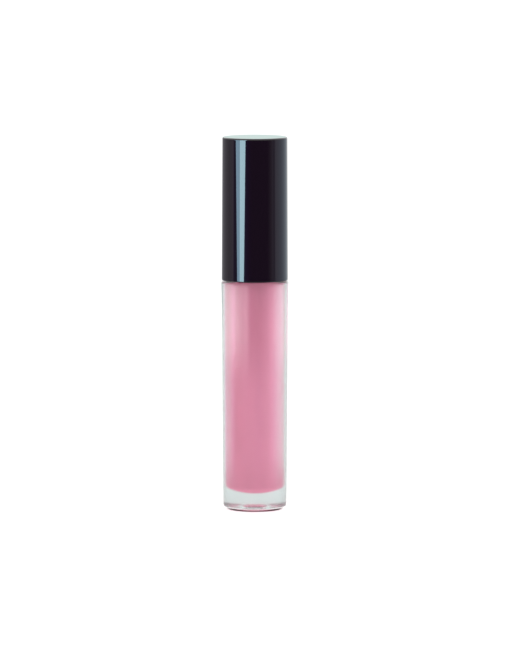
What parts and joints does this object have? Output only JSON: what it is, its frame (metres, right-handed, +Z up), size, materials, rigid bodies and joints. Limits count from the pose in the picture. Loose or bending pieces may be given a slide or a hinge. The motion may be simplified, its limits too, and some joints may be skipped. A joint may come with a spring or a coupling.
{
  "type": "lip gloss tube",
  "caption": "Tall slim lip gloss tube: a frosted clear bottle of pink gloss closed by a glossy black screw cap that carries a doe-foot applicator.",
  "frame": {"origin": "centre of the flat base that the tube stands on", "axes": "+Z up along the tube's axis, from the base to the cap; +X towards the slanted face of the applicator tip"},
  "size_m": [0.0192, 0.0192, 0.107],
  "materials": {
    "frosted_clear_plastic": "thick clear plastic, lightly frosted outside",
    "pink_gloss": "opaque creamy pink",
    "natural_soft_plastic": "soft translucent white",
    "label_film": "satin dark rose film, no lettering",
    "gloss_black_plastic": "high-gloss black",
    "black_liner_plastic": "satin black, as moulded",
    "weight_steel": "turned steel",
    "washer_foam": "matt off-white foam",
    "rod_plastic": "satin black",
    "flocking": "short flock, wet with pink gloss"
  },
  "bodies": {
    "bottle": {"tube_body": "frosted_clear_plastic", "gloss_fill": "pink_gloss", "wiper": "natural_soft_plastic", "shade_label": "label_film"},
    "washer": {"sealing_washer": "washer_foam"},
    "weight": {"cap_weight": "weight_steel"},
    "cap": {"outer_cap": "gloss_black_plastic", "inner_cap": "black_liner_plastic", "applicator_rod": "rod_plastic", "applicator_tip": "flocking"}
  },
  "joints": [
    {"name": "applicator_pull", "type": "slide", "parent": "bottle", "child": "washer", "axis": [0, 0, 1], "range_m": [0, 0.078]},
    {"name": "thread_lift", "type": "slide", "parent": "washer", "child": "weight", "axis": [0, 0, 1], "range_m": [0, 0.0045]},
    {"name": "cap_turn", "type": "hinge", "parent": "weight", "child": "cap", "pos_m": [0, 0, 0.0735], "axis": [0, 0, 1], "range_deg": [0, 540]}
  ],
  "couplings": [
    {"joint": "thread_lift", "follows": "cap_turn", "m_per_rad": 0.00047746}
  ]
}
